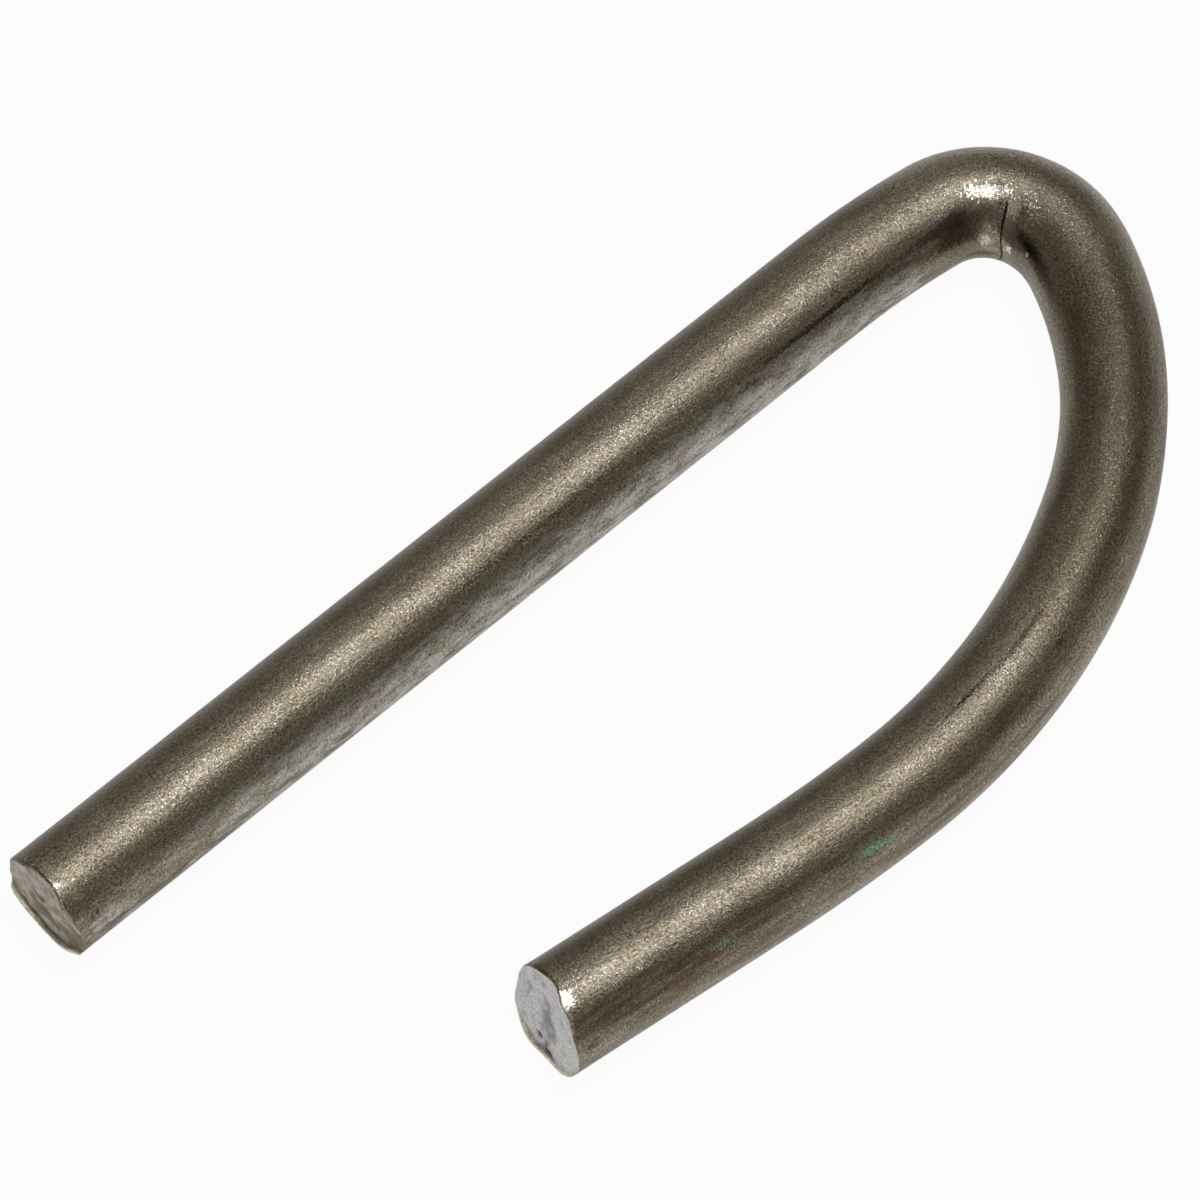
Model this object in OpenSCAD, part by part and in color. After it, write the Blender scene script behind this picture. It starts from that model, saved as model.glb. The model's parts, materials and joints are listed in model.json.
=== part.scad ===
// Hinge pin: round steel rod, cropped to length and bent cold into a shank with a hooked return leg.
// The rod's axis lies in the XY plane. The origin is on the shank's axis at its free end,
// +X points out of that end, the hook lies on the +Y side and +Z is up.

/* [Rod] */
// Diameter of the steel rod
rod_d = 6; // [5:0.5:8]

/* [Shank] */
// Straight length that a hinge knuckle turns on
shank_l = 55; // [40:1:80]

/* [Hook] */
// Inside radius of the shallow bend that leads out of the shank
lead_r = 48; // [35:1:60]
// Turn of the lead-out bend
lead_angle = 8.5; // [5:0.5:12]
// Inside radius of the tight corner, which is the radius of the former
corner_r = 2.1; // [1.9:0.1:3.5]
// Turn of the tight corner
corner_angle = 95.5; // [88:0.5:100]
// Inside radius of the easing bend just past the corner
ease_r = 5.6; // [4:0.2:8]
// Turn of the easing bend
ease_angle = 10; // [5:0.5:15]
// Inside radius of the round back of the hook
back_r = 22; // [19:0.5:30]
// Turn of the round back
back_angle = 37; // [30:0.5:42]
// Inside radius of the bend that brings the leg back along the shank
return_r = 34; // [30:0.5:45]
// Turn of the return bend
return_angle = 31; // [24:0.5:34]
// Inside radius of the last slight bend of the return leg
tail_r = 87; // [70:1:110]
// Turn of the last slight bend
tail_angle = 5.5; // [2:0.5:8]
// Straight length left at the end of the return leg
tail_l = 13.5; // [8:0.5:20]

/* [Sheared ends] */
// Lean of the shank's cut face, which turns it upwards
tip_lean = 1.5; // [0:0.5:8]
// Lean of the return leg's cut face, which turns it upwards
tail_lean = 11.5; // [0:0.5:15]
// Sideways slant of the return leg's cut face, longer on the outside of the hook
tail_slant = 3.5; // [0:0.5:8]
// Width of the rim that the shear blade rolled over at the top as it went in
roll_r = 0.35; // [0.1:0.05:0.6]
// Height of the lip that the blade left on the shank's end as it came out
tip_lip = 0.25; // [0.1:0.05:0.6]
// Height of the lip on the return leg's end
tail_lip = 0.15; // [0.1:0.05:0.6]
// Thickness of either lip where it is thickest
lip_t = 0.25; // [0.1:0.05:0.5]

/* [Forming marks] */
// Depth of the mark that the bending tool's nose left inside the corner
bite_depth = 0.4; // [0.1:0.05:0.6]
// Radius of the tool's nose
nose_r = 1.9; // [1.2:0.1:2.2]
// Turn into the corner at which the tool's edge left a step
bite_angle = 53; // [40:1:70]
// Height of the mark up the rod's inner side, as an angle from its middle
bite_lean = 34; // [20:1:40]
// Depth to which the outside of the back was drawn flat
flat_depth = 0.2; // [0.1:0.05:0.4]
// Radius of the drawn flat, a little straighter than the back itself
flat_r = 38; // [36:1:44]
// Turn into the back at the middle of the drawn flat
flat_angle = 24; // [15:1:30]

/* [Hidden] */
$fn = 96;
rod_r = rod_d / 2;
rod_color = "#6e675a";
// Every bend in order from the shank, as [radius of the rod's axis, turn]
BENDS = [
    [lead_r + rod_r, lead_angle],
    [corner_r + rod_r, corner_angle],
    [ease_r + rod_r, ease_angle],
    [back_r + rod_r, back_angle],
    [return_r + rod_r, return_angle],
    [tail_r + rod_r, tail_angle],
];
// Places of two of the bends in that list
corner_index = 1;
back_index = 3;
shank_heading = 180;
// Neighbouring stretches of the rod differ in radius by this step, too little to feel, and the thinner one
// runs on inside the thicker by the lap, so that all the stretches fuse into one solid
lap_step = 0.02;
lap = 0.05;
lapped_r = rod_r + lap_step;
// The shear tools reach this far past the rod on every side
reach = 2 * rod_d;
// The recess behind the lip is rounder than the rod by this much, so that the lip thins out to nothing
lip_play = 0.1;
// The rolled rim's arc is centred this far inside the face and inside the rod's side
roll_centre = 1.5 * roll_r;
// The drawn flat's cutter is this thick and spans this angle, past both places where the flat fades out
flat_band = 1;
flat_span = 26;
// The tool's nose is a sector of a disc with this angle
nose_span = 120;

// Unit vector along a heading, and the one a quarter turn to its left
function ahead(h) = [cos(h), sin(h)];
function left(h) = [-sin(h), cos(h)];

// Direction in which the rod runs at the start of bend i, with every bend turning to the right
function heading(i) = i == 0 ? shank_heading : heading(i - 1) - BENDS[i - 1][1];

// Point of the rod's axis at which bend i starts, and the bend's centre
function start(i) =
    i == 0
        ? shank_l * ahead(shank_heading)
        : centre(i - 1) + BENDS[i - 1][0] * left(heading(i));
function centre(i) = start(i) - BENDS[i][0] * left(heading(i));

// Straight rod of radius r and length l, from a point along a heading
module straight(from, h, r, l) {
    translate([from.x, from.y, 0])
        rotate([0, 90, h])
            cylinder(r = r, h = l);
}

// Bend i, a piece of a torus that meets its neighbours tangentially.
// Every second stretch of rod, from bend 0 on, is the thicker kind that its neighbours lap into.
module bend(i) {
    thick = i % 2 == 0;
    run_on = thick ? 0 : lap / BENDS[i][0] * 180 / PI;
    translate([centre(i).x, centre(i).y, 0])
        rotate([0, 0, heading(i + 1) + 90 - run_on])
            rotate_extrude(angle = BENDS[i][1] + 2 * run_on)
                translate([BENDS[i][0], 0])
                    circle(r = thick ? lapped_r : rod_r);
}

// Puts its children at a turn into bend i, with +X pointing from the bend's centre to the rod's axis
module at_turn(i, turn) {
    translate([centre(i).x, centre(i).y, 0])
        rotate([0, 0, heading(i) - turn + 90])
            children();
}

// Section of what the blade rolled away at the rim: the corner outside a full arc that spans roll_r both ways
module roll_profile() {
    difference() {
        translate([-roll_r, -roll_r])
            square(2 * roll_r);
        translate([-roll_centre, -roll_centre])
            circle(r = norm([roll_centre, roll_centre - roll_r]));
    }
}

// What the shear takes off an end that points along +X, with its lip's edge in the YZ plane.
// The face lies inside the lip by the lip's height, its rim is rolled over at the top, and the lip is a crescent
// at the bottom.
module sheared_off(lip_h) {
    translate([0, -reach / 2, -reach / 2])
        cube(reach);
    translate([-lip_h, 0, lip_t + lip_play])
        rotate([0, 90, 0])
            cylinder(r = rod_r + lip_play, h = reach);
    translate([-lip_h, 0, -roll_r])
        rotate([0, 90, 0])
            rotate_extrude()
                translate([rod_r + roll_r, 0])
                    roll_profile();
}

// Mark of the tool's nose inside the corner: it is deepest at a step and fades out towards the shank
module tool_bite() {
    at_turn(corner_index, bite_angle)
        translate([BENDS[corner_index][0], 0, 0])
            rotate([0, bite_lean, 0])
                translate([bite_depth - rod_r - nose_r, 0, -rod_r])
                    rotate_extrude(angle = nose_span)
                        square([nose_r, rod_d]);
}

// Metal missing from the outside of the back, where bending drew the rod flat
module drawn_flat() {
    at_turn(back_index, flat_angle)
        translate([BENDS[back_index][0] + rod_r - flat_depth - flat_r, 0, -rod_r])
            rotate([0, 0, -flat_span / 2])
                rotate_extrude(angle = flat_span)
                    translate([flat_r, 0])
                        square([flat_band, rod_d]);
}

module hinge_pin() {
    last = len(BENDS);
    tail_end = start(last) + tail_l * ahead(heading(last));
    color(rod_color)
        difference() {
            union() {
                straight([0, 0], shank_heading, rod_r, shank_l + lap);
                for (i = [0:last - 1])
                    bend(i);
                straight(start(last), heading(last), lapped_r, tail_l);
            }
            rotate([0, -tip_lean, 0])
                sheared_off(tip_lip);
            translate([tail_end.x, tail_end.y, 0])
                rotate([0, -tail_lean, heading(last) - tail_slant])
                    sheared_off(tail_lip);
            tool_bite();
            drawn_flat();
        }
}

hinge_pin();
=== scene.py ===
"""Bent steel hinge pin: the rod's worked surface, its finish and a plain stage, laid out as an add-on."""

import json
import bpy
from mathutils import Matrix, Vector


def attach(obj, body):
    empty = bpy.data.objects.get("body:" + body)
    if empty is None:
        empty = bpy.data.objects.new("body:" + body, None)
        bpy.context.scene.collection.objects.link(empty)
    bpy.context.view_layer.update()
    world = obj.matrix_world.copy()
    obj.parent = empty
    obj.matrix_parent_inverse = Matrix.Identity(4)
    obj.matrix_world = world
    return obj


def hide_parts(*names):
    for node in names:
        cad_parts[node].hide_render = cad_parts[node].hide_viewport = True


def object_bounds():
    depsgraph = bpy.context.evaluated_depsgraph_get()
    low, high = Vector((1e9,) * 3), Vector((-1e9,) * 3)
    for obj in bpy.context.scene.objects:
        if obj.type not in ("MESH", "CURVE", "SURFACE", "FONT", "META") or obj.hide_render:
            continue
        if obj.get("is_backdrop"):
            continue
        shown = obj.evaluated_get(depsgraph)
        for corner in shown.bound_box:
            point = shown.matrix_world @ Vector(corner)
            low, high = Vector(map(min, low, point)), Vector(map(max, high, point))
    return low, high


bl_info = {
    "name": "Hinge pin",
    "version": (1, 0, 0),
    "blender": (4, 5, 0),
    "location": "3D View > Sidebar > Hinge pin",
    "description": "Builds a bent steel hinge pin with sheared ends over its packed frame",
    "category": "Object",
}

import bpy
import numpy as np
from bpy.props import FloatProperty, FloatVectorProperty, PointerProperty
from mathutils import Vector

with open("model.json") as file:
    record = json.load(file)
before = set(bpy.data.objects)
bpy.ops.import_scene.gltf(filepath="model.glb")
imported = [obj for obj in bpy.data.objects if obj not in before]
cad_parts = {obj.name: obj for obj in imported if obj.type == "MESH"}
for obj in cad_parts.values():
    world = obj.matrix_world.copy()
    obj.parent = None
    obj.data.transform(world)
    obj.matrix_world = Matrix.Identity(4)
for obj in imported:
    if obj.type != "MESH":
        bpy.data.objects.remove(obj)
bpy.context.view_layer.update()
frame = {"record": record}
SHANK_MOUNT = next(m for m in frame["record"]["mounts"] if m["name"] == "shank")

MM = 0.001
# Vertices round the rod, rings over each cut face, and rings over that face's rim
COLUMNS = 112
FACE_RINGS = 40
RIM_RINGS = 7
# The rod's two material slots
ROD_SKIN, CUT_FACE = 0, 1
# The bends in order from the shank, by the first word of their sizes
BENDS = ("lead", "corner", "ease", "back", "hook", "tail")
# Sockets of a colour Mix node, which share their names with others: its two colours and its result
MIX_UNDER, MIX_OVER, MIXED = 6, 7, 2

# Marks on the skin, each (distance from the shank's end in mm, bearing in degrees, half length in mm, half angle
# in degrees, share). Bearings run from the rod's outer side (0) over its top (90) to its inner side (180).
# Dark scale and dirt, most of it pressed in round the corner, and painted shade there on the tool's mark, past the
# crease and along the inner rim, with a painted dark reflection in a band along the shank
SCALE_AND_SHADE_MARKS = (
    (60.8, 134, 1.4, 5, 0.8), (62.4, 131, 1.1, 7, 0.8), (62.4, 143, 1.4, 11, 0.9), (64.2, 141, 1.3, 10, 0.7),
    (65.9, 136, 1.3, 12, 0.85), (66.6, 149, 0.7, 9, 0.8), (61.6, 156, 1.6, 8, 0.6), (64.0, 156, 1.2, 8, 0.7),
    (65.0, 190, 3.5, 6, 0.9), (68.0, 147, 1.0, 12, 1.3), (69.2, 156, 0.9, 8, 1.2), (68.2, 150, 0.8, 11, 0.9),
    (69.6, 151, 0.9, 12, 1.1), (71.2, 150, 1.2, 10, 1.2), (72.6, 151, 1.3, 9, 1.1), (74.2, 151, 1.4, 8, 0.7),
    (1.4, 150, 0.7, 10, 0.7), (3.4, 141, 1.0, 7, 0.6), (53, 137, 7, 4, 0.9), (97.9, 54, 0.5, 5, 0.9),
    (130.1, 20, 0.5, 8, 0.9),
)
# Painted shade in the deepest marks past the crease and a painted dark reflection in a band along the shank, with
# dirt in fine lines along the return leg
SHADE_AND_DIRT_LINES = (
    (69.6, 148, 0.7, 9, 0.5), (70.9, 150, 1.0, 8, 0.65), (72.3, 151, 1.1, 6, 0.6), (62.5, 141, 0.8, 5, 0.5),
    (66.7, 126, 0.3, 9, 0.6), (32.6, 124, 9, 4.5, 0.5), (53, 137, 6, 4, 0.55), (98.6, 88.5, 3.2, 3, 0.75),
    (103.4, 92.5, 2.6, 3, 0.75),
)
# Dark line along the shank's inner side near the floor: a painted reflection of the floor's shadow under the rod
REFLECTED_SHADOW_LINE = (32, 174.6, 40, 2.4, 0.52)
# Skin paler, partly where the oxide is rubbed off and partly painted: painted reflections of the pale floor inside
# the corner, and painted sheen past the crease and on the shank's rolled rim
WORN_AND_SHEEN_MARKS = (
    (65.4, 168, 1.3, 10, 1.2), (68.3, 172, 0.8, 8, 1.1), (69.2, 116, 1.3, 8, 0.8), (82, 184, 9, 9, 0.3),
    (0.45, 62, 0.35, 34, 0.8), (1.0, 127, 0.6, 8, 1.0),
)
# Painted highlights and glints where the lamp's reflection falls, on steel partly rubbed smooth, and painted
# reflections of the pale floor inside the corner
GLINT_AND_BURNISH_MARKS = (
    (65.4, 113, 1.5, 9, 1.1), (65.4, 167, 0.7, 7, 1.1), (68.7, 170, 0.4, 5, 1.1), (66.9, 110, 0.4, 5, 0.6),
    (69.1, 117, 1.2, 9, 0.55), (71.4, 158, 0.14, 2.4, 1.2), (130.35, 76, 0.55, 9, 1.3),
    (0.45, 106, 0.2, 3.5, 1.1), (126.2, 64, 0.14, 2.4, 1.2),
)
GREEN_MARKS = (
    (112.6, 38, 1.1, 7, 1.4), (111.5, 31, 1.2, 4, 1.2), (107.3, 25, 0.9, 4, 1.0), (121.7, 38, 0.8, 6, 1.2),
    (123.1, 46, 0.6, 4, 0.8), (118.0, 30, 1.0, 4, 0.6),
)
# Small spots of rust, and along the corner's inner rim a painted reflection of the floor's shadow
RUST_AND_RIM_SHADE_MARKS = (
    (5.9, 177, 0.2, 4, 0.9), (8.4, 174, 0.25, 5, 1.0), (64.8, 189, 3.0, 6, 1.0), (76.2, 133, 0.3, 3, 0.8),
    (77.4, 135, 0.3, 3, 0.7), (78.4, 136, 0.3, 3, 0.8), (79.3, 137, 0.3, 3, 0.7), (130.35, 118, 0.3, 22, 1.0),
)

# What is particular to each cut face. Dents: (across, up, half width, half height in mm, turn in degrees, share).
# Swells of the rim: (height in mm, bearing, half angle in degrees). The lip stands between two bearings.
# The painted shade along the lip's foot has a share of its own.
TIP = {
    "seed": 11,
    "dents": (
        (0.36, 0.22, 0.2, 0.2, 0, 1.6), (-2.2, -1.2, 0.5, 1.2, 20, 0.9), (0.26, -0.92, 0.55, 0.35, 20, 1.1),
        (-2.55, 0.25, 0.25, 0.2, 0, 0.8), (1.1, -0.6, 0.25, 0.5, 0, 0.6), (-0.6, -1.4, 0.6, 0.3, -20, 0.6),
        (-1.6, -0.7, 0.5, 0.4, 0, 0.5),
    ),
    "swells": ((-0.15, 5, 14), (0.2, 54, 20), (0.3, 128, 20), (-0.14, 252, 34), (-0.06, 292, 24)),
    "lip_span": (180, 360),
    "foot_shade": 0.9,
}
TAIL = {
    "seed": 31,
    "dents": (
        (-0.1, -0.4, 0.65, 1.2, 20, 0.6), (0.39, -2.6, 0.32, 0.22, 0, 1.5), (-0.47, -1.97, 0.16, 0.16, 0, 1.5),
        (0.1, -2.2, 0.12, 0.25, 0, 1.0), (-2.2, 0.2, 0.3, 0.5, 0, 0.3),
    ),
    "swells": ((0.4, 40, 30), (0.35, 75, 12), (0.2, 125, 35), (0.25, 215, 28), (-0.2, 285, 30)),
    "lip_span": (215, 350),
    "foot_shade": 0.25,
}

# Soft round lamps, each (name, place in m, width in m, power in W), and where they all face
LAMPS = (
    ("overhead", (-0.225, 0.073, 0.882), 0.23, 2.4),
    ("wall", (-0.315, -0.56, 0.48), 0.5, 0.25),
    ("fill", (0.5, 0.5, 0.5), 0.5, 1.6),
)
LAMPS_FACE = (-0.035, 0.01, 0)
# Strength of the room's light, which fills the shadows
ROOM_STRENGTH = 0.2
# Place in m, what it faces, and focal length and film width in mm
CAMERA_PLACE = (0.07855, 0.12517, 0.27358)
CAMERA_FACES = (-0.03295, 0.00597, 0)
CAMERA_LENS, CAMERA_FILM = 183.7, 36
# Radii in m of the rings of the floor's disc, and the vertices in each
FLOOR_REACHES = (0.2, 0.6, 1.6)
FLOOR_COLUMNS = 96


def linear(colour):
    """An sRGB colour written #rrggbb, as the linear red, green, blue and alpha that Blender works in."""
    srgb = np.array([int(colour[i : i + 2], 16) for i in (1, 3, 5)]) / 255
    light = np.where(srgb <= 0.04045, srgb / 12.92, ((srgb + 0.055) / 1.055) ** 2.4)
    return (*light.tolist(), 1.0)


def length(name, description, millimetres):
    """A length property, in metres inside Blender."""
    return FloatProperty(
        name=name, description=description, default=millimetres * MM, min=0, unit="LENGTH", precision=5
    )


def turn(name, description, degrees):
    """An angle property, in radians inside Blender."""
    return FloatProperty(name=name, description=description, default=np.radians(degrees), subtype="ANGLE")


def colour(name, description, written):
    """A colour property from an sRGB colour written #rrggbb."""
    return FloatVectorProperty(
        name=name, description=description, default=linear(written), size=4, min=0, max=1, subtype="COLOR"
    )


class RodSizes(bpy.types.PropertyGroup):
    """Sizes of the bent rod. They repeat the source's own, because the frame carries only its surface."""

    radius: length("Rod radius", "Radius of the drawn rod", SHANK_MOUNT["dims"]["r_mm"])
    shank: length("Shank", "Straight length that a hinge knuckle turns on", SHANK_MOUNT["dims"]["length_mm"])
    lead_inside: length("Lead-out inside radius", "Inside radius of the shallow bend after the shank", 48)
    lead_turn: turn("Lead-out turn", "Turn of the shallow bend after the shank", 8.5)
    corner_inside: length("Corner inside radius", "Inside radius of the tight corner", 2.1)
    corner_turn: turn("Corner turn", "Turn of the tight corner", 95.5)
    ease_inside: length("Easing inside radius", "Inside radius just past the corner", 5.6)
    ease_turn: turn("Easing turn", "Turn just past the corner", 10)
    back_inside: length("Back inside radius", "Inside radius of the hook's round back", 22)
    back_turn: turn("Back turn", "Turn of the hook's round back", 37)
    hook_inside: length("Return inside radius", "Inside radius of the bend that brings the leg back", 34)
    hook_turn: turn("Return turn", "Turn of the bend that brings the leg back", 31)
    tail_inside: length("Tail inside radius", "Inside radius of the return leg's last slight bend", 87)
    tail_turn: turn("Tail turn", "Turn of the return leg's last slight bend", 5.5)
    tail: length("Tail", "Straight length at the end of the return leg", 13.5)


class WorkMarks(bpy.types.PropertyGroup):
    """Sizes of what shearing and bending left on the rod."""

    tip_lean: turn("Tip lean", "Lean of the shank's cut face", 1.5)
    tail_lean: turn("Tail lean", "Lean of the return leg's cut face", 11.5)
    tail_slant: turn("Tail slant", "Sideways slant of the return leg's cut face", 3.5)
    tip_roll: length("Tip roll", "Width of the shank's rim rolled over where the blade went in", 0.16)
    tail_roll: length("Tail roll", "Width of the return leg's rolled rim", 0.14)
    rim_rest: length("Rest of the rim", "Rounding of the rim where the blade came out", 0.03)
    tip_lip: length("Tip lip", "Height of the lip that the blade left on the shank's end", 0.25)
    tail_lip: length("Tail lip", "Height of the lip on the return leg's end", 0.15)
    lip_width: length("Lip width", "Thickness of either lip at its thickest", 0.26)
    lip_play: length("Lip play", "How much rounder than the rod the recess behind the lip is", 0.1)
    bite_depth: length("Bite depth", "Depth of the tool's mark inside the corner", 0.41)
    bite_length: length("Bite length", "Length over which the mark deepens up to its step", 6.6)
    bite_turn: turn("Bite turn", "Turn into the corner at which the tool left a step", 53)
    bite_lean: turn("Bite lean", "Height of the mark up the rod's inner side", 34)
    burr: length("Burr", "Height of the metal pushed up beyond the step", 0.05)
    rub_depth: length("Rub depth", "Depth of the facet rubbed above the tool's mark", 0.17)
    rub_length: length("Rub length", "Length of that facet", 3.4)
    rub_lean: turn("Rub lean", "Bearing of the facet from the rod's top towards its inner side", 23)
    flat_depth: length("Drawn flat", "Depth to which the outside of the back was drawn flat", 0.2)
    squeeze: length("Squeeze", "How far the inside of the back is pressed in", 0.16)
    bulge: length("Bulge", "How far metal bulges inside the tight corner", 0.12)
    unevenness: length("Unevenness", "Waviness of the drawn skin", 0.008)


class SurfaceColours(bpy.types.PropertyGroup):
    """Colours of the finishes."""

    steel: colour("Steel", "Worn drawn steel", "#a29c8c")
    oxide: colour("Oxide", "Thin brown oxide on the steel", "#7b705d")
    # Partly painted: the shank's near side and the worn patches are also paler as a painted reflection of the pale
    # floor
    pale: colour("Pale side", "Side of the shank where the oxide is rubbed off", "#b9b5ae")
    # Painted shade: the tone laid where the rod's sides face away from the light and reflect dark surroundings
    painted_shade: colour("Aged side", "Side with the thickest oxide", "#665b49")
    grime: colour("Grime", "Dried oil and dirt", "#6b5c49")
    # Also the tone of the painted shade inside the corner and of the painted shade along the cut faces' lip foot
    scale: colour("Mill scale", "Dark scale left where the tool pressed", "#6b5e52")
    # Also the tone of the painted shade in the crease and the corner
    crease_shade_and_dirt: colour("Crevice dirt", "Dirt in the crease and in the deepest marks", "#1f1a15")
    # Also the tone of the painted shadow line along the corner's inner rim
    rust_and_rim_shade: colour("Rust", "Small spots of rust", "#6f5238")
    verdigris: colour("Green traces", "Green traces rubbed off brass", "#8db39a")
    # Also the tone of the painted highlights, glints and floor reflections
    burnished_and_glint: colour("Burnished steel", "Steel rubbed bright by a tool", "#f2ede2")
    tip_cut: colour("Shank's cut steel", "Sheared steel of the shank's end, a little tarnished", "#c2bcb4")
    tail_cut: colour("Tail's cut steel", "Sheared steel of the return leg's end", "#d5d4d4")
    lip: colour("Lip", "Steel smeared into the lip", "#efe9cf")
    tarnish: colour("Tarnish", "Tarnished grain of the shank's sheared face", "#83765f")
    dull: colour("Dull grain", "Dull grain of the tail's sheared face", "#9a999c")
    pit: colour("Pit", "Dirt in the pits of the sheared faces", "#6f675c")
    floor: colour("Floor", "Plain pale floor", "#f7f7f7")
    room: colour("Room", "Light that the room gives from all round", "#fff5e8")


# --- the rod's axis ---------------------------------------------------------------------------------------


def stretches(rod):
    """The rod's stretches in order, as (length along the axis, radius of the axis or None where straight)."""
    bends = [(getattr(rod, b + "_inside") + rod.radius, getattr(rod, b + "_turn")) for b in BENDS]
    return [(rod.shank, None)] + [(r * a, r) for r, a in bends] + [(rod.tail, None)]


def left_of(heading):
    """Unit vectors a quarter turn to the left of the headings."""
    return np.stack([-np.sin(heading), np.cos(heading)], axis=-1)


def rod_axis(rod, along):
    """Points and headings of the axis at distances along it.

    A straight stretch runs on along its heading. In a bend of radius R the heading turns right by distance / R
    and the point stays R to the left of the bend's centre. Each stretch overwrites what lies past its start."""
    point = np.zeros(along.shape + (2,))
    heading = np.full(along.shape, np.pi)
    here, facing, begins = np.zeros(2), np.pi, 0.0
    for size, radius in stretches(rod):
        past = along >= begins if begins else np.full(along.shape, True)
        gone = along[past] - begins
        if radius is None:
            forward = np.array([np.cos(facing), np.sin(facing)])
            point[past] = here + gone[:, None] * forward
            heading[past] = facing
            here = here + size * forward
        else:
            centre = here - radius * left_of(facing)
            heading[past] = facing - gone / radius
            point[past] = centre + radius * left_of(heading[past])
            facing = facing - size / radius
            here = centre + radius * left_of(facing)
        begins += size
    return point, heading


def bent(rod, along, across, up):
    """Lays straightened-rod coordinates round the bends: axis point + across times its left side, and up as Z."""
    point, heading = rod_axis(rod, along)
    flat = point + across[..., None] * left_of(heading)
    return np.concatenate([flat, up[..., None]], axis=-1)


# --- shapes of the marks ----------------------------------------------------------------------------------


def hump(value, middle, width):
    """Bell curve of height 1 round the middle."""
    return np.exp(-(((value - middle) / width) ** 2))


def ramp(value, low, high):
    """Smooth step: 0 below low, 1 above high, 3t^2 - 2t^3 between."""
    t = np.clip((value - low) / (high - low), 0, 1)
    return t * t * (3 - 2 * t)


def soft_least(a, b, blend):
    """Smaller of a and b with the corner between them rounded over the blend length."""
    t = np.clip(0.5 + (b - a) / (2 * blend), 0, 1)
    return b + (a - b) * t - blend * t * (1 - t)


def wander(seed, *coordinates):
    """Smooth irregular field from about -1 to 1: sines of eight seeded mixtures of the coordinates, added up."""
    rng = np.random.default_rng(seed)
    total = 0
    for _ in range(8):
        mixture = sum(rng.normal() * c for c in coordinates)
        total = total + np.sin(mixture + rng.uniform(0, 2 * np.pi))
    return total / 3


def stations(rod, marks):
    """Distances along the axis of the rod's rings, closer in the corner and closest round the tool's step.
    Returns also the distance of the step."""
    coarse, fine, finish = 0.21 * MM, 0.09 * MM, 0.1 * MM
    ends = np.cumsum([size for size, _ in stretches(rod)])
    step_at = ends[1] + (rod.corner_inside + rod.radius) * marks.bite_turn
    up_to = np.arange(step_at - 50 * fine, step_at - 0.05 * MM, fine)
    step = step_at + np.array([-0.045, -0.004, 0.004, 0.03]) * MM
    beyond = np.arange(step_at + 0.06 * MM, ends[2] + 1.5 * MM, finish)
    before = np.linspace(0, up_to[0], int(up_to[0] / coarse), endpoint=False)
    after = np.linspace(beyond[-1] + coarse, ends[-1], int((ends[-1] - beyond[-1]) / coarse))
    return np.concatenate([before, up_to, step, beyond, after]), step_at


def rod_section(rod, marks, along, angle):
    """Sideways and upward offsets of the skin from the axis.

    A circle, made wavy by two seeded fields that mostly lower it. Its outer side (angle 0) is capped by a soft
    flat over the back, its inner side is pressed in there too, and bulges inside the tight corner, each along a
    bell curve."""
    flat_length, press_length, bulge_length = 7 * MM, 6 * MM, 2.6 * MM
    around = np.cos(angle), np.sin(angle)
    ripple = wander(3, along / MM * 0.55, around[0] * 1.6, around[1] * 1.6)
    ripple = ripple + 0.5 * wander(4, along / MM * 1.7, around[0] * 3, around[1] * 3)
    radius = rod.radius + marks.unevenness * 0.6 * (ripple - 1.2)
    across, up = radius * around[0], radius * around[1]
    ends = np.cumsum([size for size, _ in stretches(rod)])
    flattest = ends[3] + 0.62 * (ends[4] - ends[3])
    flat = marks.flat_depth * hump(along, flattest, flat_length)
    across = soft_least(across, rod.radius - flat + 0.02 * MM, 0.12 * MM)
    press = marks.squeeze * hump(along, flattest - MM, press_length)
    swell = marks.bulge * hump(along, ends[2] - 1.5 * MM, bulge_length)
    return across + (press - swell) * ramp(-around[0], 0, 1), up


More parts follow.
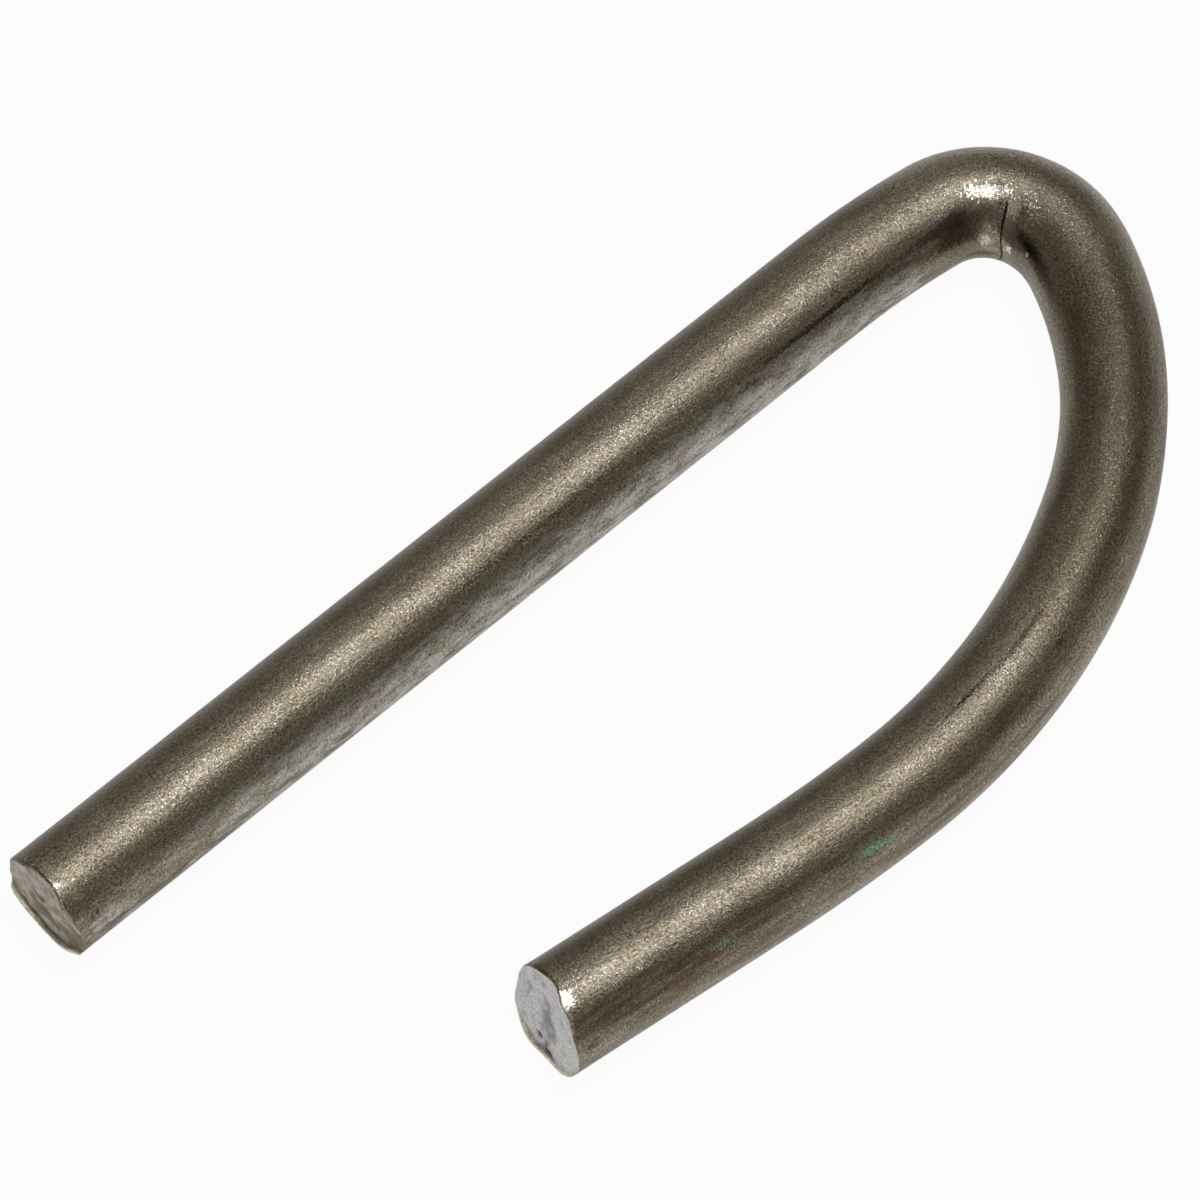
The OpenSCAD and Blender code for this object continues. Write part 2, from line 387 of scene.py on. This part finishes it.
def bitten(rod, marks, along, across, up, step_at):
    """Presses the bending tool's mark into the inside of the corner.

    The mark is a flat that faces the lean direction, roughened by a seeded field, and its depth grows in a
    straight line up to the step. Beyond the step the skin stands up in a bell-shaped burr with a small hollow
    pinched into it. Above the mark a second, shallower flat is rubbed in the same way, and fades out just before
    the step. Returns the new across and up."""
    chatter_depth, burr_length, pinch_depth = 0.012 * MM, 1.1 * MM, 0.14 * MM
    facing = -np.cos(marks.bite_lean), np.sin(marks.bite_lean)
    reach = across * facing[0] + up * facing[1]
    beside = across * facing[1] - up * facing[0]
    depth = marks.bite_depth * np.clip((along - step_at + marks.bite_length) / marks.bite_length, 0, 1)
    depth = np.where(along < step_at, depth, 0)
    chatter = chatter_depth * wander(7, along / MM * 2.2, beside / MM * 3.1)
    pressed = np.where(depth > 0, soft_least(reach, rod.radius - depth + chatter, 0.04 * MM), reach)
    beyond = np.where(along >= step_at, along - step_at, MM)
    inner = ramp(reach, 0.82 * rod.radius, rod.radius)
    crest = marks.burr * hump(beyond, 0, burr_length)
    pinch = pinch_depth * hump(beyond, 1.1 * MM, 0.5 * MM) * hump(beside, 1.3 * MM, 0.7 * MM)
    pressed = np.where(along >= step_at, pressed + (crest - pinch) * inner, pressed)
    across, up = across + (pressed - reach) * facing[0], up + (pressed - reach) * facing[1]
    facing = -np.sin(marks.rub_lean), np.cos(marks.rub_lean)
    reach = across * facing[0] + up * facing[1]
    rubbed = marks.rub_depth * np.clip((along - step_at + marks.rub_length) / marks.rub_length, 0, 1)
    rubbed = rubbed * (1 - ramp(along, step_at - 1.5 * MM, step_at))
    moved = np.where(rubbed > 0, soft_least(reach, rod.radius - rubbed, 0.03 * MM) - reach, 0)
    return across + moved * facing[0], up + moved * facing[1]


def dents(across, up, ovals):
    """Adds up bell-shaped ovals on a cut face, each turned so that its height leans towards -across."""
    total = 0
    for at_across, at_up, half_width, half_height, lean, share in ovals:
        c, s = np.cos(np.radians(lean)), np.sin(np.radians(lean))
        x, y = across / MM - at_across, up / MM - at_up
        total = total + share * hump(x * c + y * s, 0, half_width) * hump(y * c - x * s, 0, half_height)
    return total


def lip_share(rod, marks, across, up, end):
    """Where the lip stands, and where the dark line along its foot lies, both from 0 to 1. The recess behind the
    lip is a circle a little rounder than the rod and raised by the lip's width, so that the lip is a crescent."""
    line, fade = 0.04 * MM, 30
    outside = np.hypot(across, up - marks.lip_width - marks.lip_play) - rod.radius - marks.lip_play
    bearing = np.degrees(np.arctan2(up, across)) % 360
    start, stop = end["lip_span"]
    span = ramp(bearing, start, start + fade) * (1 - ramp(bearing, stop - fade, stop))
    return ramp(outside, -line / 2, line) * span, hump(outside, -line, line) * span


def face_height(rod, marks, across, up, lip_height, end):
    """Height of a sheared face above the plane through its lip's edge: the ragged lip, a coarse and a fine seeded
    relief, a step of the torn middle, swells that grow towards the rim with the square of the radius, and the
    dents."""
    coarse, fine, step, dent = 0.05 * MM, 0.02 * MM, 0.05 * MM, 0.07 * MM
    bearing = np.arctan2(up, across)
    ragged = np.clip(1 + 0.2 * wander(end["seed"], np.sin(bearing) * 4, np.cos(bearing) * 4), 0.6, 1.15)
    height = lip_height * (lip_share(rod, marks, across, up, end)[0] * ragged - 1)
    height = height + coarse * wander(end["seed"] + 1, across / MM * 1.1, up / MM * 0.8)
    height = height + fine * wander(end["seed"] + 2, across / MM * 3.4, up / MM * 2.6)
    height = height + step * ramp(up + 0.25 * across, -0.2 * MM, 0.5 * MM)
    for swell, at, half_angle in end["swells"]:
        swing = (np.degrees(bearing) - at + 180) % 360 - 180
        height = height + swell * MM * hump(swing, 0, half_angle) * (across**2 + up**2) / rod.radius**2
    return height - dent * dents(across, up, end["dents"])


def sheared_end(rod, marks, angle, lean, slant, roll, lip_height, end):
    """Rings of a sheared end from its middle out to its rim, as (out along the rod, across, up).

    The face is a height field over a leaning plane, and its rings crowd towards the rim. The rim is a quarter
    circle whose radius is full where the blade went in, at the top, fades to a small rounding towards the lip,
    and is made uneven by a seeded field."""
    roll = marks.rim_rest + (roll - marks.rim_rest) * ramp(np.sin(angle), 0.1, 0.95)
    roll = roll * (1 + 0.25 * wander(end["seed"] + 5, np.cos(angle) * 4, np.sin(angle) * 4))
    share = 1 - (1 - np.arange(1, FACE_RINGS + 1) / FACE_RINGS) ** 1.5
    reach = share[:, None] * (rod.radius - roll)
    across, up = reach * np.cos(angle), reach * np.sin(angle)
    height = face_height(rod, marks, across, up, lip_height, end)
    bow = np.linspace(0, np.pi / 2, RIM_RINGS + 1)[1:, None]
    rim = rod.radius - roll * (1 - np.sin(bow))
    height = np.concatenate([height, height[-1] - roll * (1 - np.cos(bow))])
    across = np.concatenate([across, rim * np.cos(angle)])
    up = np.concatenate([up, rim * np.sin(angle)])
    ahead = np.cos(lean) * np.cos(slant), -np.cos(lean) * np.sin(slant), np.sin(lean)
    out = (height - ahead[1] * across - ahead[2] * up) / ahead[0]
    return out, across, up


def rod_rings(rod, marks):
    """All rings of the rod in straightened coordinates (along, across, up), from the shank's face to the tail's,
    the bearings of their vertices, and how far each vertex's ring lies past the tool's step.

    Side rings near an end lean with its cut, straighten over the lead-in length and are plain circles at the
    very rim. The rings near the step are shifted along the rod by a bell curve of the bearing, because the tool
    left the step a little crooked."""
    lead_in, plain, crooked_length = 5 * MM, MM, 1.6 * MM
    angle = np.arange(COLUMNS) * 2 * np.pi / COLUMNS
    stops, step_at = stations(rod, marks)
    total = sum(size for size, _ in stretches(rod))
    tip = sheared_end(rod, marks, angle, marks.tip_lean, 0.0, marks.tip_roll, marks.tip_lip, TIP)
    tail = sheared_end(
        rod, marks, angle, marks.tail_lean, marks.tail_slant, marks.tail_roll, marks.tail_lip, TAIL
    )
    stop = stops[1:-1, None]
    side = stop + np.zeros(COLUMNS)
    side = side - tip[0][-1] * (1 - ramp(side, 0, lead_in))
    side = side + tail[0][-1] * (1 - ramp(total - side, 0, lead_in))
    across, up = rod_section(rod, marks, side, angle[None, :])
    across, up = bitten(rod, marks, stop, across, up, step_at)
    crooked = 0.6 * MM * hump(angle, np.pi + 0.08, 0.3) - 0.12 * MM
    side = side + crooked * hump(stop, step_at, crooked_length)
    worked = ramp(stop, 0, plain) * ramp(total - stop, 0, plain)
    across = across * worked + rod.radius * np.cos(angle) * (1 - worked)
    up = up * worked + rod.radius * np.sin(angle) * (1 - worked)
    rings = [
        np.concatenate([-tip[0], side, total + tail[0][::-1]]),
        np.concatenate([tip[1], across, tail[1][::-1]]),
        np.concatenate([tip[2], up, tail[2][::-1]]),
    ]
    past = np.concatenate([np.full(len(tip[0]), -np.inf), stops[1:-1] - step_at, np.full(len(tail[0]), np.inf)])
    return rings, np.broadcast_to(angle, rings[0].shape), np.broadcast_to(past[:, None], rings[0].shape)


def patches(along, angle, ovals):
    """Oval bell-shaped patches on the skin added up."""
    total = 0
    for at, bearing, half_length, half_angle, share in ovals:
        swing = (np.degrees(angle) - bearing + 180) % 360 - 180
        total = total + share * hump(along / MM, at, half_length) * hump(swing, 0, half_angle)
    return total


def skin_marks(along, angle, past):
    """Where the skin differs, as fields from about 0 to 1 by name, from the distance along the rod, the bearing
    and the distance past the tool's step. Broad areas are products of smooth steps along and round the rod, and
    the rest are oval patches. The crease, a line of painted shade, is a bell curve just past the step. Several
    fields paint shade, highlights and reflections as well as the steel's own colour."""
    inner, top = -np.cos(angle), np.sin(angle)
    shank = 1 - ramp(along, 58 * MM, 63 * MM)
    leg = ramp(along, 88 * MM, 104 * MM)
    back = ramp(along, 72 * MM, 78 * MM) * (1 - ramp(along, 88 * MM, 100 * MM))
    # Painted shade in the crease
    crease = 1.4 * hump(past, 0.04 * MM, 0.15 * MM) * ramp(inner, 0.36, 0.7)
    # Painted shade past the crease, a painted dark reflection along the shank, and dirt in fine lines
    lines = patches(along, angle, SHADE_AND_DIRT_LINES)
    # Painted reflection of the floor's shadow along the shank's inner side
    lines = lines + ramp(along, 3 * MM, 9 * MM) * patches(along, angle, (REFLECTED_SHADOW_LINE,))
    worn_and_sheen = patches(along, angle, WORN_AND_SHEEN_MARKS)
    # Pale shank side facing the floor: rubbed oxide together with a painted reflection of the pale floor
    rubbed = shank * ramp(inner, 0.5, 0.9) * (0.65 + 0.35 * ramp(along, 4 * MM, 16 * MM))
    # Painted shade: darker on the shank's far side, the return leg's far side, the hook's back, and along the
    # shank's underside by its lower rim
    painted_shade = 0.8 * shank * ramp(-inner, 0.1, 0.75) + 0.55 * leg * ramp(inner, 0.1, 0.75) + 0.3 * back
    lower_rim = 0.9 * shank * ramp(inner, 0.9, 1.0) * ramp(-top, -0.08, 0.02)
    return {
        "pale": np.maximum(rubbed, worn_and_sheen),
        "painted_shade": (painted_shade + lower_rim) * ramp(top, -0.6, 0.1),
        "grime": leg * ramp(-inner, 0.35, 0.7) * ramp(top, -0.5, 0.1),
        "scale": patches(along, angle, SCALE_AND_SHADE_MARKS) * (1 - 0.9 * np.clip(worn_and_sheen, 0, 1)),
        "crease_shade_and_dirt": np.maximum(lines, crease),
        "burnish_and_glints": patches(along, angle, GLINT_AND_BURNISH_MARKS),
        "green": patches(along, angle, GREEN_MARKS),
        "rust_and_rim_shade": patches(along, angle, RUST_AND_RIM_SHADE_MARKS),
    }


def cut_marks(rod, marks, along, across, up):
    """Fields of the cut faces by name: which end a point belongs to, the pits where the dents are, the lip, and
    the painted shade along its foot. Any distance between the two faces tells the ends apart."""
    at_tail = ramp(along, 60 * MM, 61 * MM)
    ends = [(dents(across, up, end["dents"]), *lip_share(rod, marks, across, up, end)) for end in (TAIL, TIP)]
    pits, lip, foot = (np.where(at_tail > 0, *pair) for pair in zip(*ends))
    foot = foot * np.where(at_tail > 0, TAIL["foot_shade"], TIP["foot_shade"])
    return {"tail_face": at_tail, "pits": pits, "lip": lip, "lip_foot": foot}


# --- mesh -------------------------------------------------------------------------------------------------


def closed_faces(rows, columns):
    """Quads of a closed tube of rings, then the triangles that close it round a pole at either end.
    Ring r, column c is vertex r * columns + c; the first pole comes after all of them, then the last one."""
    r, c = np.meshgrid(np.arange(rows - 1), np.arange(columns), indexing="ij")
    a, b = r * columns + c, r * columns + (c + 1) % columns
    quads = np.stack([a, b, b + columns, a + columns], axis=-1).reshape(-1, 4)
    ring = np.arange(columns)
    after = (ring + 1) % columns
    last = (rows - 1) * columns
    first_fan = np.stack([np.full(columns, rows * columns), after, ring], axis=-1)
    last_fan = np.stack([np.full(columns, rows * columns + 1), last + ring, last + after], axis=-1)
    return quads, np.concatenate([first_fan, last_fan])


def with_poles(rings):
    """Flattens rings of vectors and adds the two poles, each the mean of its end ring."""
    flat = rings.reshape(-1, rings.shape[-1])
    return np.concatenate([flat, rings[0].mean(axis=0)[None], rings[-1].mean(axis=0)[None]])


def build_mesh(name, points, quads, triangles):
    """A mesh object from whole arrays, smooth shaded and at the origin."""
    mesh = bpy.data.meshes.new(name)
    loops = np.concatenate([quads.ravel(), triangles.ravel()])
    starts = np.concatenate([np.arange(len(quads)) * 4, len(quads) * 4 + np.arange(len(triangles)) * 3])
    mesh.vertices.add(len(points))
    mesh.vertices.foreach_set("co", points.astype(np.float32).ravel())
    mesh.loops.add(len(loops))
    mesh.loops.foreach_set("vertex_index", loops.astype(np.int32))
    mesh.polygons.add(len(starts))
    mesh.polygons.foreach_set("loop_start", starts.astype(np.int32))
    mesh.polygons.foreach_set("use_smooth", np.ones(len(starts), dtype=bool))
    mesh.update(calc_edges=True)
    mesh.validate()
    piece = bpy.data.objects.new(name, mesh)
    bpy.context.scene.collection.objects.link(piece)
    return piece


def paint(piece, name, values):
    """Stores one number or one vector per vertex as a named attribute."""
    kind, field = ("FLOAT_VECTOR", "vector") if values.ndim == 2 else ("FLOAT", "value")
    layer = piece.data.attributes.new(name, kind, "POINT")
    layer.data.foreach_set(field, values.astype(np.float32).ravel())


# --- finishes ---------------------------------------------------------------------------------------------


def add(tree, kind, inputs, output=0, **settings):
    """Adds a node with its settings, fills its inputs with values or with other nodes' outputs, and returns one
    of its outputs, or nothing where it has none."""
    new = tree.nodes.new("ShaderNode" + kind)
    for key, value in settings.items():
        setattr(new, key, value)
    for key, value in inputs.items():
        if isinstance(value, bpy.types.NodeSocket):
            tree.links.new(value, new.inputs[key])
        else:
            new.inputs[key].default_value = value
    return new.outputs[output] if new.outputs else None


def new_material(name):
    """An empty node material and its tree."""
    material = bpy.data.materials.new(name)
    material.use_nodes = True
    material.node_tree.nodes.clear()
    return material, material.node_tree


def drawn_steel(colours):
    """Mild steel rod, drawn through a die and handled for years. To the eye it is a satin grey metal with a fine
    dull grain under a thin brown oxide. Fine draw lines run along it, and dried oil and green rubbings lie on the
    hook's outer side. Painted shade darkens the far sides, the inside of the corner and its crease, and painted
    highlights, glints and floor reflections brighten the corner, the shank's near side and the ends' rims."""
    material, tree = new_material("drawn_mild_steel")
    place = add(tree, "Attribute", {}, "Vector", attribute_name="rod_mm")
    # The grain is 0.11 mm wide, its tints 0.2 mm, and the scratches across the rod 0.11 by 0.3 mm, all coarser
    # than real so that they show. Crumbs of 0.2 mm edge the worn and dirty patches. Draw lines are 0.15 mm wide,
    # dirt streaks 0.4 by 4 mm, blotches 0.5 by 1.5 mm and clouds of oxide 1.2 by 3.5 mm.
    patterns = {}
    for name, output, stretch, noise in (
        ("grain", "Fac", (1, 1, 1), {"Scale": 9.0, "Detail": 3.0, "Roughness": 0.7}),
        ("tints", "Color", (1, 1, 1), {"Scale": 5.0, "Detail": 4.0, "Roughness": 0.8}),
        ("scratches", "Fac", (1, 0.4, 0.4), {"Scale": 9.0, "Detail": 2.0}),
        ("crumbs", "Fac", (1, 1, 1), {"Scale": 5.0, "Detail": 3.0}),
        ("lines", "Fac", (0.07, 1, 1), {"Scale": 6.0, "Detail": 3.0}),
        ("streaks", "Fac", (0.1, 1, 1), {"Scale": 2.2, "Detail": 4.0}),
        ("blotches", "Fac", (0.35, 1, 1), {"Scale": 1.9, "Detail": 5.0, "Roughness": 0.65}),
        ("clouds", "Fac", (0.35, 1, 1), {"Scale": 0.8, "Detail": 6.0}),
    ):
        mapped = add(tree, "Mapping", {"Vector": place, "Scale": stretch})
        patterns[name] = add(tree, "TexNoise", {"Vector": mapped, **noise}, output)
    grain, lines, scratches = patterns["grain"], patterns["lines"], patterns["scratches"]
    # The oxide lies in clouds and along the draw lines, and the scratches cut through it
    uneven = add(tree, "Math", {0: patterns["clouds"], 1: 0.6, 2: grain}, operation="MULTIPLY_ADD")
    uneven = add(tree, "Math", {0: lines, 1: 0.35, 2: uneven}, operation="MULTIPLY_ADD")
    oxide = add(tree, "MapRange", {"Value": uneven, "From Min": 0.75, "From Max": 1.2})
    bare = add(tree, "MapRange", {"Value": scratches, "From Min": 0.68, "From Max": 0.8, "To Max": 0.7})
    layers = [(oxide, colours.oxide), (bare, colours.burnished_and_glint)]
    # Each area has a ragged edge: its field plus a pattern is cut between two thresholds
    for name, pattern, depth, low, high, tone in (
        # Painted shade over the far sides, the shank's underside and the hook's back
        ("painted_shade", uneven, 0.7, 0.5, 1.35, colours.painted_shade),
        # Rubbed oxide together with painted reflections of the floor and painted sheen
        ("pale", patterns["blotches"], 3.2, 2.25, 2.85, colours.pale),
        ("grime", patterns["streaks"], 2.4, 1.85, 2.6, colours.grime),
        # Scale and dirt, with painted shade inside the corner
        ("scale", patterns["crumbs"], 2.0, 1.4, 1.75, colours.scale),
        # Painted shade in the crease and the corner, and dirt in fine lines
        ("crease_shade_and_dirt", grain, 0.8, 0.65, 1.15, colours.crease_shade_and_dirt),
        # Rust, and a painted shadow line along the corner's inner rim
        ("rust_and_rim_shade", grain, 1.6, 1.2, 1.8, colours.rust_and_rim_shade),
        ("green", patterns["crumbs"], 2.6, 1.9, 2.9, colours.verdigris),
        # Painted highlights, glints and floor reflections on rubbed steel
        ("burnish_and_glints", patterns["crumbs"], 2.2, 1.55, 1.65, colours.burnished_and_glint),
    ):
        field = add(tree, "Attribute", {}, "Fac", attribute_name=name)
        present = add(tree, "Math", {0: field, 1: 8.0}, operation="MULTIPLY", use_clamp=True)
        ragged = add(tree, "Math", {0: pattern, 1: depth, 2: field}, operation="MULTIPLY_ADD")
        ragged = add(tree, "MapRange", {"Value": ragged, "From Min": low, "From Max": high})
        layers.append((add(tree, "Math", {0: ragged, 1: present}, operation="MULTIPLY"), tone))
    skin = colours.steel
    for area, tone in layers:
        skin = add(tree, "Mix", {"Factor": area, MIX_UNDER: skin, MIX_OVER: tone}, MIXED, data_type="RGBA")
    # Dark and light, then reddish and greenish differences from grain to grain
    shade = {"Value": grain, "From Min": 0.3, "From Max": 0.7, "To Min": 1.6, "To Max": 0.4}
    shaded = {"Factor": 1.0, MIX_UNDER: skin, MIX_OVER: add(tree, "MapRange", shade)}
    skin = add(tree, "Mix", shaded, MIXED, data_type="RGBA", blend_type="MULTIPLY")
    tint = {0: patterns["tints"], 1: (1.3, 1.3, 1.2), 2: (-0.15, -0.16, -0.1)}
    tinted = {"Factor": 0.5, MIX_UNDER: skin, MIX_OVER: add(tree, "VectorMath", tint, operation="MULTIPLY_ADD")}
    skin = add(tree, "Mix", tinted, MIXED, data_type="RGBA", blend_type="SOFT_LIGHT")
    # Oxide is a little rougher than bare steel, and the painted highlights on burnished steel, which come last,
    # are the smoothest
    rough = add(tree, "MapRange", {"Value": oxide, "To Min": 0.25, "To Max": 0.34})
    rough = add(tree, "Mix", {"Factor": layers[-1][0], "A": rough, "B": 0.2}, data_type="FLOAT")
    relief = add(tree, "Math", {0: scratches, 1: 0.4, 2: grain}, operation="MULTIPLY_ADD")
    relief = add(tree, "Math", {0: lines, 1: 0.2, 2: relief}, operation="MULTIPLY_ADD")
    bumped = add(tree, "Bump", {"Height": relief, "Strength": 1.0, "Distance": 0.03 * MM})
    metal = {"Base Color": skin, "Metallic": 1.0, "Roughness": rough, "Normal": bumped}
    add(tree, "OutputMaterial", {"Surface": add(tree, "BsdfPrincipled", metal)})
    return material


def sheared_steel(colours):
    """Mild steel parted by a shear blade. To the eye it is bare, pale and slightly lilac, and torn matt where it
    broke away, with brown tarnish in its low patches and pits. The shank's end is the darker one."""
    material, tree = new_material("sheared_mild_steel")
    place = add(tree, "Attribute", {}, "Vector", attribute_name="rod_mm")
    tail, pits, lip, foot = (
        add(tree, "Attribute", {}, "Fac", attribute_name=name) for name in ("tail_face", "pits", "lip", "lip_foot")
    )
    # Torn grain of 0.11 mm, coarser than real so that it shows, over low patches of 0.6 mm
    grain = add(tree, "TexNoise", {"Vector": place, "Scale": 9.0, "Detail": 3.0, "Roughness": 0.7})
    low = add(tree, "TexNoise", {"Vector": place, "Scale": 1.6, "Detail": 5.0})
    fresh, stain = (
        add(tree, "Mix", {"Factor": tail, MIX_UNDER: at_tip, MIX_OVER: at_tail}, MIXED, data_type="RGBA")
        for at_tip, at_tail in ((colours.tip_cut, colours.tail_cut), (colours.tarnish, colours.dull))
    )
    # The tarnish lies in the low patches, deeper in the pits and thinner on the tail's face
    stained = add(tree, "Math", {0: grain, 1: 0.4, 2: low}, operation="MULTIPLY_ADD")
    stained = add(tree, "Math", {0: pits, 1: 0.6, 2: stained}, operation="MULTIPLY_ADD")
    stained = add(tree, "Math", {0: tail, 1: -0.12, 2: stained}, operation="MULTIPLY_ADD")
    stained = add(tree, "MapRange", {"Value": stained, "From Min": 0.6, "From Max": 0.85})
    dirty = add(tree, "MapRange", {"Value": pits, "From Min": 0.65, "From Max": 0.95})
    # Dirt fills the pits, the lip is smeared bright, and a dark line of painted shade runs along its foot
    skin = fresh
    for area, tone in ((stained, stain), (dirty, colours.pit), (lip, colours.lip), (foot, colours.scale)):
        skin = add(tree, "Mix", {"Factor": area, MIX_UNDER: skin, MIX_OVER: tone}, MIXED, data_type="RGBA")
    # Dark and light from grain to grain
    shade = {"Value": grain, "From Min": 0.3, "From Max": 0.7, "To Min": 0.6, "To Max": 1.4}
    shaded = {"Factor": 1.0, MIX_UNDER: skin, MIX_OVER: add(tree, "MapRange", shade)}
    skin = add(tree, "Mix", shaded, MIXED, data_type="RGBA", blend_type="MULTIPLY")
    relief = add(tree, "Math", {0: low, 1: grain}, operation="ADD")
    bumped = add(tree, "Bump", {"Height": relief, "Strength": 1.0, "Distance": 0.012 * MM})
    metal = {"Base Color": skin, "Metallic": 1.0, "Roughness": 0.5, "Normal": bumped}
    add(tree, "OutputMaterial", {"Surface": add(tree, "BsdfPrincipled", metal)})
    return material


def painted_floor(colours):
    """Matt white painted board. To the eye it shades softly under the object, and is near white where the camera
    or the metal sees it."""
    material, tree = new_material("matt_white_board")
    glow_to_camera, glow_in_reflections = 0.95, 0.4
    matt = add(tree, "BsdfDiffuse", {"Color": colours.floor})
    glow = add(tree, "Emission", {"Color": (1, 1, 1, 1), "Strength": 1.0})
    ray = add(tree, "LightPath", {}).node.outputs
    seen = add(tree, "Math", {0: ray["Is Glossy Ray"], 1: ray["Is Transmission Ray"]}, operation="MAXIMUM")
    share = add(tree, "Math", {0: seen, 1: glow_in_reflections}, operation="MULTIPLY")
    share = {0: ray["Is Camera Ray"], 1: glow_to_camera, 2: share}
    share = add(tree, "Math", share, operation="MULTIPLY_ADD")
    add(tree, "OutputMaterial", {"Surface": add(tree, "MixShader", {0: share, 1: matt, 2: glow})})
    return material


# --- operators --------------------------------------------------------------------------------------------


class HINGEPIN_OT_rod(bpy.types.Operator):
    """Build the bent rod with its sheared ends, bending marks and drawn steel finish"""

    bl_idname = "hingepin.rod"
    bl_label = "Bent rod"

    def execute(self, context):
        rod, marks, colours = (getattr(context.scene, group) for group in GROUPS)
        (along, across, up), angle, past = rod_rings(rod, marks)
        rows = len(along)
        quads, fans = closed_faces(rows, COLUMNS)
        piece = build_mesh("bent_rod", with_poles(bent(rod, along, across, up)), quads, fans)
        paint(piece, "rod_mm", with_poles(np.stack([along, across, up], axis=-1) / MM))
        fields = skin_marks(along, angle, past) | cut_marks(rod, marks, along, across, up)
        for name, field in fields.items():
            paint(piece, name, with_poles(field[..., None])[:, 0])
        # The rows of quads run from one cut face over the skin to the other, and the fans close the two faces
        row = np.repeat(np.arange(rows - 1), COLUMNS)
        on_face = (row < FACE_RINGS - 1) | (row >= rows - FACE_RINGS)
        slots = np.concatenate([np.where(on_face, CUT_FACE, ROD_SKIN), np.full(len(fans), CUT_FACE)])
        for material in (drawn_steel(colours), sheared_steel(colours)):
            piece.data.materials.append(material)
        piece.data.polygons.foreach_set("material_index", slots.astype(np.int32))
        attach(piece, "root")
        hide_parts("hinge_pin")
        return {"FINISHED"}


class HINGEPIN_OT_stage(bpy.types.Operator):
    """Build the pale floor, the soft lamps, the room's light and the camera"""

    bl_idname = "hingepin.stage"
    bl_label = "Stage"

    def execute(self, context):
        scene = context.scene
        colours = scene.surface_colours
        # The floor is a flat disc of rings under the rod, closed by the first pole alone
        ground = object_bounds()[0].z
        bearing = np.arange(FLOOR_COLUMNS) * 2 * np.pi / FLOOR_COLUMNS
        reach = np.array(FLOOR_REACHES)[:, None]
        disc = np.stack([reach * np.cos(bearing), reach * np.sin(bearing), ground + 0 * reach * bearing], axis=-1)
        quads, fans = closed_faces(len(reach), FLOOR_COLUMNS)
        floor = build_mesh("floor", with_poles(disc)[:-1], quads[:, ::-1], fans[:FLOOR_COLUMNS, ::-1])
        floor.data.materials.append(painted_floor(colours))
        floor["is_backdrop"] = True

        world = bpy.data.worlds.new("room")
        world.use_nodes = True
        world.node_tree.nodes.clear()
        room = add(world.node_tree, "Background", {"Color": colours.room, "Strength": ROOM_STRENGTH})
        add(world.node_tree, "OutputWorld", {"Surface": room})
        scene.world = world

        for name, place, width, power in LAMPS:
            light = bpy.data.lights.new(name, "AREA")
            light.shape, light.size, light.energy = "DISK", width, power
            self.aim(name, light, place, LAMPS_FACE)
        view = bpy.data.cameras.new("camera")
        view.lens, view.sensor_width = CAMERA_LENS, CAMERA_FILM
        view.clip_start, view.clip_end = 0.01, 10
        scene.camera = self.aim("camera", view, CAMERA_PLACE, CAMERA_FACES)
        scene.view_settings.view_transform = "Standard"
        return {"FINISHED"}

    def aim(self, name, data, place, target):
        """An object with a lamp's or a camera's data, put at a place and turned to face a target."""
        aimed = bpy.data.objects.new(name, data)
        bpy.context.scene.collection.objects.link(aimed)
        aimed.location = place
        aimed.rotation_mode = "QUATERNION"
        aimed.rotation_quaternion = (Vector(target) - Vector(place)).to_track_quat("-Z", "Y")
        return aimed


class HINGEPIN_PT_panel(bpy.types.Panel):
    """Lists the hinge pin's operators"""

    bl_label = "Hinge pin"
    bl_idname = "HINGEPIN_PT_panel"
    bl_space_type = "VIEW_3D"
    bl_region_type = "UI"
    bl_category = "Hinge pin"

    def draw(self, context):
        for group in GROUPS:
            box = self.layout.box()
            settings = getattr(context.scene, group)
            for key in settings.__annotations__:
                box.prop(settings, key)
        for operator in OPERATORS:
            self.layout.operator(operator.bl_idname)


GROUPS = {"rod_sizes": RodSizes, "work_marks": WorkMarks, "surface_colours": SurfaceColours}
OPERATORS = (HINGEPIN_OT_rod, HINGEPIN_OT_stage)
CLASSES = (*GROUPS.values(), *OPERATORS, HINGEPIN_PT_panel)


def register():
    for cls in CLASSES:
        bpy.utils.register_class(cls)
    for name, group in GROUPS.items():
        setattr(bpy.types.Scene, name, PointerProperty(type=group))


def unregister():
    for name in GROUPS:
        delattr(bpy.types.Scene, name)
    for cls in reversed(CLASSES):
        bpy.utils.unregister_class(cls)


def main():
    register()
    bpy.ops.hingepin.rod()
    bpy.ops.hingepin.stage()


if __name__ == "__main__":
    main()
